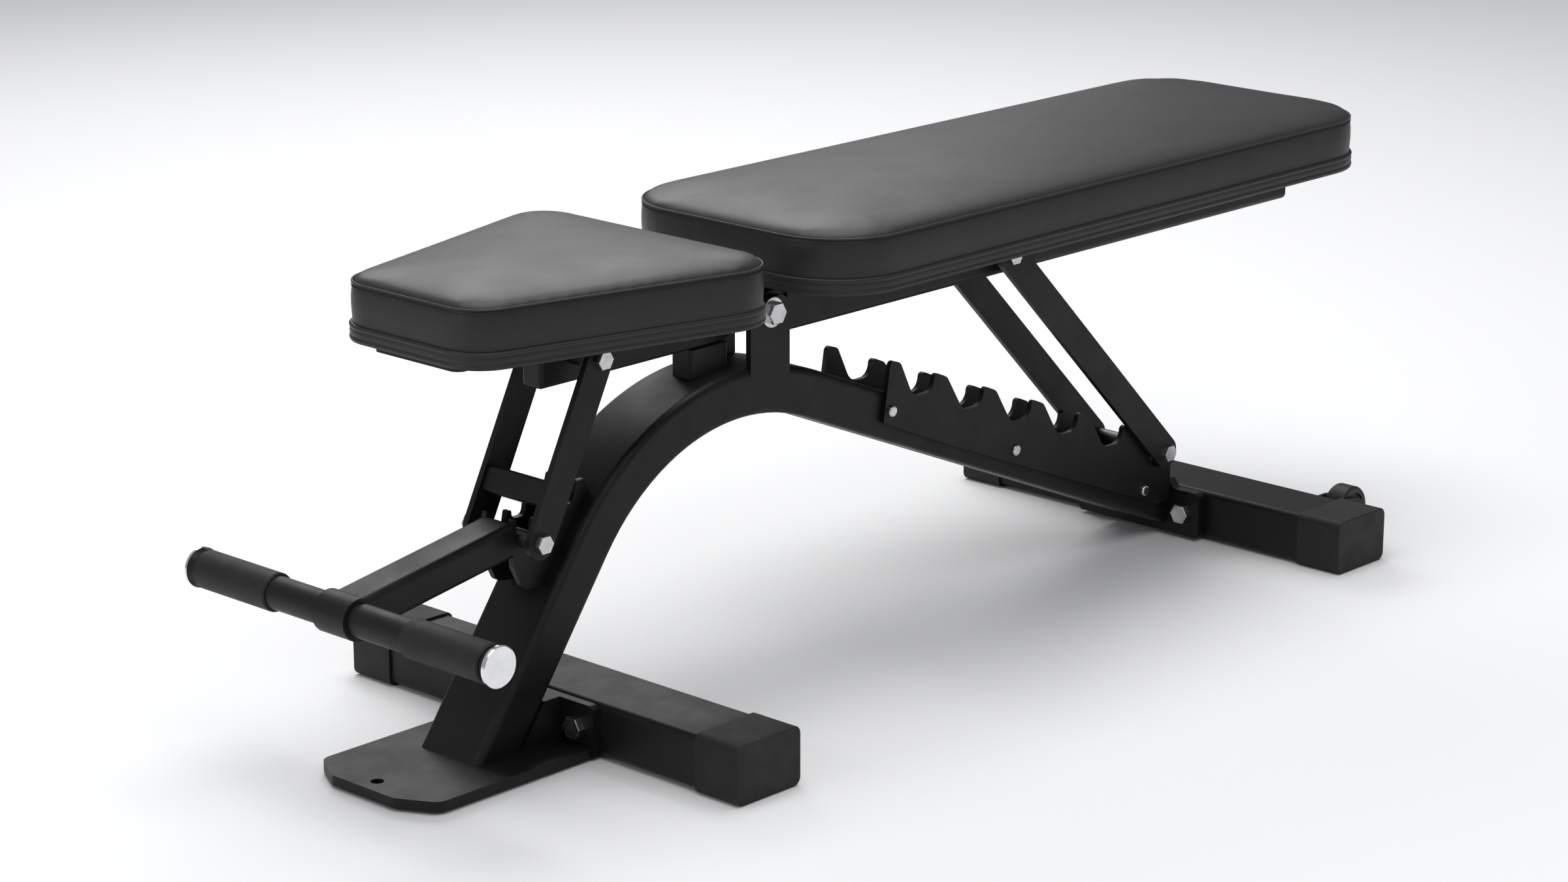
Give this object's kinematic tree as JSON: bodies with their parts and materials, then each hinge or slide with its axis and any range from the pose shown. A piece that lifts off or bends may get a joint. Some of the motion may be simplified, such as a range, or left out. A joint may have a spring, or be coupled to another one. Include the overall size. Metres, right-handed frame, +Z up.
{
  "type": "adjustable weight bench",
  "caption": "Low adjustable weight bench with an arched tube spine, notched ladders for the back rest and seat, and a T-handle at the front.",
  "frame": {"origin": "middle of the floor rectangle that the bench covers, on the floor", "axes": "+X from the handle end towards the head end of the back rest, +Y across the bench, +Z up"},
  "size_m": [1.3073, 0.5, 0.446],
  "materials": {
    "powder_coat": "matte black textured powder coat",
    "dark_steel": "dark plain steel",
    "zinc": "bright zinc plate",
    "bright_metal": "turned and polished",
    "upholstery": "black grained leatherette",
    "plywood": "black-stained plywood",
    "rubber": "matte moulded rubber",
    "wheel_plastic": "moulded"
  },
  "bodies": {
    "base": {"base_bolts": "zinc", "base_nuts": "zinc", "foot_plate": "powder_coat", "front_crossbar": "powder_coat", "front_end_caps": "rubber", "front_flange_plate": "powder_coat", "front_gusset": "powder_coat", "handle_bar": "powder_coat", "handle_collar": "powder_coat", "handle_end_caps": "bright_metal", "handle_grips": "rubber", "handle_tube": "powder_coat", "hinge_bolt": "zinc", "hinge_nut": "zinc", "hinge_post_plates": "powder_coat", "hinge_washers": "zinc", "ladder_bolts": "zinc", "ladder_nuts": "zinc", "ladder_plate_left": "powder_coat", "ladder_plate_right": "powder_coat", "rear_crossbar": "powder_coat", "rear_end_caps": "rubber", "rear_flange_plate": "powder_coat", "seat_ladder_plates": "powder_coat", "seat_rest_bumper": "rubber", "spine_tube": "powder_coat", "wheel_axles": "zinc", "wheel_brackets": "powder_coat", "wheel_nuts": "zinc"},
    "back_rest": {"back_frame_tube": "powder_coat", "back_hinge_ears": "powder_coat", "back_mount_plates": "powder_coat", "back_pad": "upholstery", "back_pad_board": "plywood", "back_pad_screws": "zinc", "back_pivot_bolt": "zinc", "back_pivot_nut": "zinc", "back_pivot_spacers": "dark_steel"},
    "back_strut": {"back_struts": "powder_coat", "back_foot_sleeve": "dark_steel", "back_foot_bolt": "zinc", "back_foot_nut": "zinc"},
    "seat": {"seat_frame_tube": "powder_coat", "seat_hinge_bush": "dark_steel", "seat_mount_plate": "powder_coat", "seat_pad": "upholstery", "seat_pad_board": "plywood", "seat_pad_screws": "zinc", "seat_pivot_bolt": "zinc", "seat_pivot_nut": "zinc", "seat_pivot_spacers": "dark_steel"},
    "seat_strut": {"seat_struts": "powder_coat", "seat_strut_brace": "powder_coat", "seat_catch_sleeve": "dark_steel", "seat_catch_bolt": "zinc", "seat_catch_nut": "zinc"},
    "wheel_left": {"wheel_left": "wheel_plastic"},
    "wheel_right": {"wheel_right": "wheel_plastic"}
  },
  "joints": [
    {"name": "back_tilt", "type": "hinge", "parent": "base", "child": "back_rest", "pos_m": [-0.14965, 0, 0.352], "axis": [0, -1, 0], "range_deg": [0, 53]},
    {"name": "back_strut_swing", "type": "hinge", "parent": "back_rest", "child": "back_strut", "pos_m": [0.17835, 0, 0.35], "axis": [0, -1, 0], "range_deg": [-80, 0]},
    {"name": "seat_tilt", "type": "hinge", "parent": "base", "child": "seat", "pos_m": [-0.14965, 0, 0.352], "axis": [0, 1, 0], "range_deg": [0, 10]},
    {"name": "seat_strut_swing", "type": "hinge", "parent": "seat", "child": "seat_strut", "pos_m": [-0.37065, 0, 0.351], "axis": [0, 1, 0], "range_deg": [-11.5, 0]},
    {"name": "wheel_left_spin", "type": "hinge", "parent": "base", "child": "wheel_left", "pos_m": [0.56735, -0.181, 0.034], "axis": [0, 1, 0], "continuous": true},
    {"name": "wheel_right_spin", "type": "hinge", "parent": "base", "child": "wheel_right", "pos_m": [0.56735, 0.181, 0.034], "axis": [0, 1, 0], "continuous": true}
  ],
  "couplings": [
    {"joint": "back_strut_swing", "follows": "back_tilt", "ratio": -1.5},
    {"joint": "seat_strut_swing", "follows": "seat_tilt", "ratio": -1.1}
  ]
}
